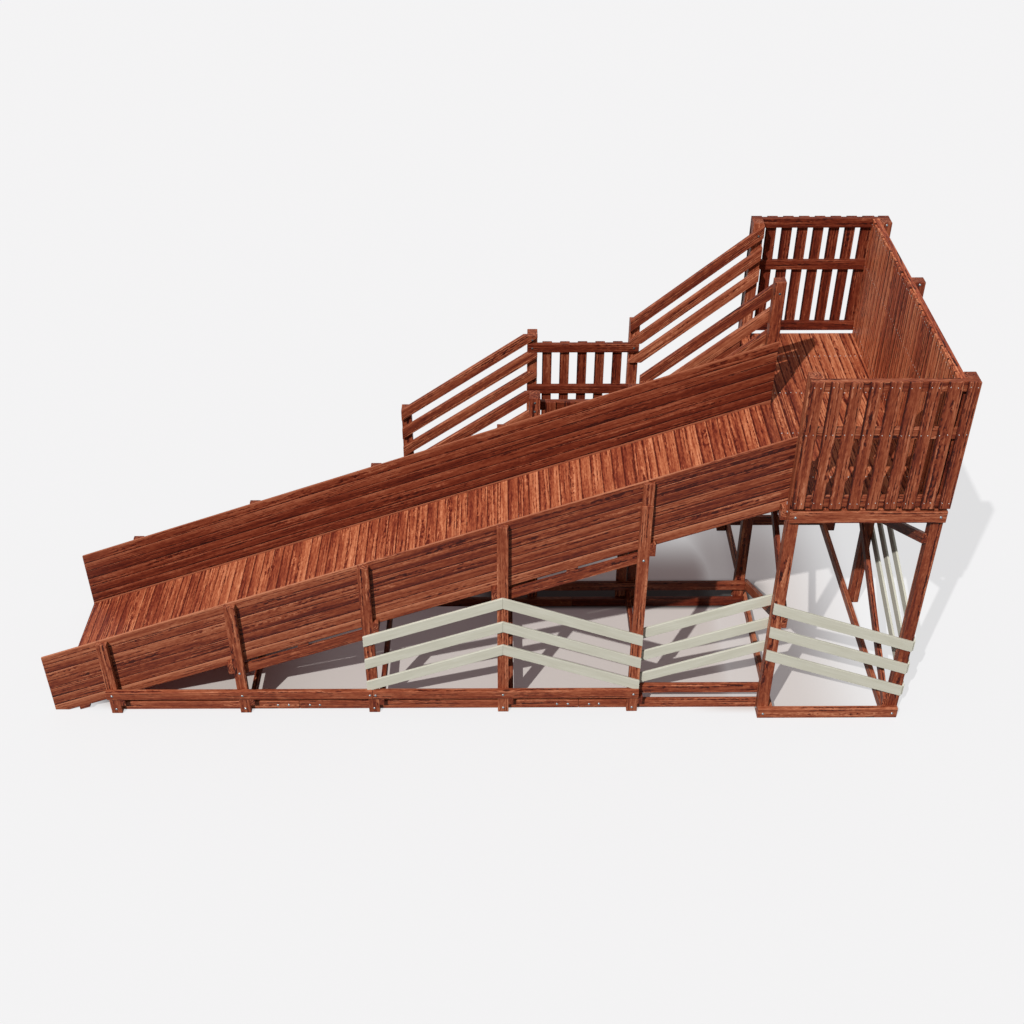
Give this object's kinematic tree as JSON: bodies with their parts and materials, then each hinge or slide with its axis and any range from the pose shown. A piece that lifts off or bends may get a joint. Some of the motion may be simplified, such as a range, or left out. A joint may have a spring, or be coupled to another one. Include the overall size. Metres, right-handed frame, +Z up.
{
  "type": "toboggan slide",
  "caption": "Timber toboggan slide: a boarded chute on trestles runs down from a slatted platform on posts, with a stair and landing beside it.",
  "frame": {"origin": "middle of the footprint, on the ground", "axes": "+X runs up the chute to the tower, +Y from the chute's front side to the stair side, +Z up"},
  "size_m": [7.87, 3.02, 3.65],
  "materials": {
    "stained_timber": "reddish brown stain, satin",
    "pale_paint": "pale sage stain, satin"
  },
  "bodies": {
    "root": {"chute_floor": "stained_timber", "chute_beam_front": "stained_timber", "chute_beam_middle": "stained_timber", "chute_beam_back": "stained_timber", "chute_head_bearer": "stained_timber", "chute_wall_front": "stained_timber", "chute_wall_back": "stained_timber", "trestle_1": "stained_timber", "trestle_2": "stained_timber", "trestle_3": "stained_timber", "trestle_4": "stained_timber", "trestle_5": "stained_timber", "foot_bearer": "stained_timber", "low_rail_front": "stained_timber", "low_rail_back": "stained_timber", "high_rail_front": "stained_timber", "high_rail_back": "stained_timber", "high_rail_tower_bay": "stained_timber", "tower_post_front_left": "stained_timber", "tower_post_front_right": "stained_timber", "tower_post_middle_left": "stained_timber", "tower_post_middle_right": "stained_timber", "tower_post_back_left": "stained_timber", "tower_post_back_right": "stained_timber", "tower_base_frame": "stained_timber", "platform_frame": "stained_timber", "platform_deck": "stained_timber", "slat_panel_front": "stained_timber", "slat_panel_back": "stained_timber", "board_wall_right": "stained_timber", "braces_left": "stained_timber", "braces_right": "stained_timber", "stair_flight_lower": "stained_timber", "stair_flight_upper": "stained_timber", "landing": "stained_timber", "landing_guard_near": "stained_timber", "landing_guard_far": "stained_timber", "railing_lower_near": "stained_timber", "railing_lower_far": "stained_timber", "railing_upper_near": "stained_timber", "railing_upper_far": "stained_timber", "pale_rail_chute_1": "pale_paint", "pale_rail_chute_2": "pale_paint", "pale_rail_chute_3": "pale_paint", "pale_rail_tower_bay_1": "pale_paint", "pale_rail_tower_bay_2": "pale_paint", "pale_rail_tower_bay_3": "pale_paint", "pale_rail_tower_1": "pale_paint", "pale_rail_tower_2": "pale_paint", "pale_rail_tower_3": "pale_paint"}
  },
  "joints": []
}
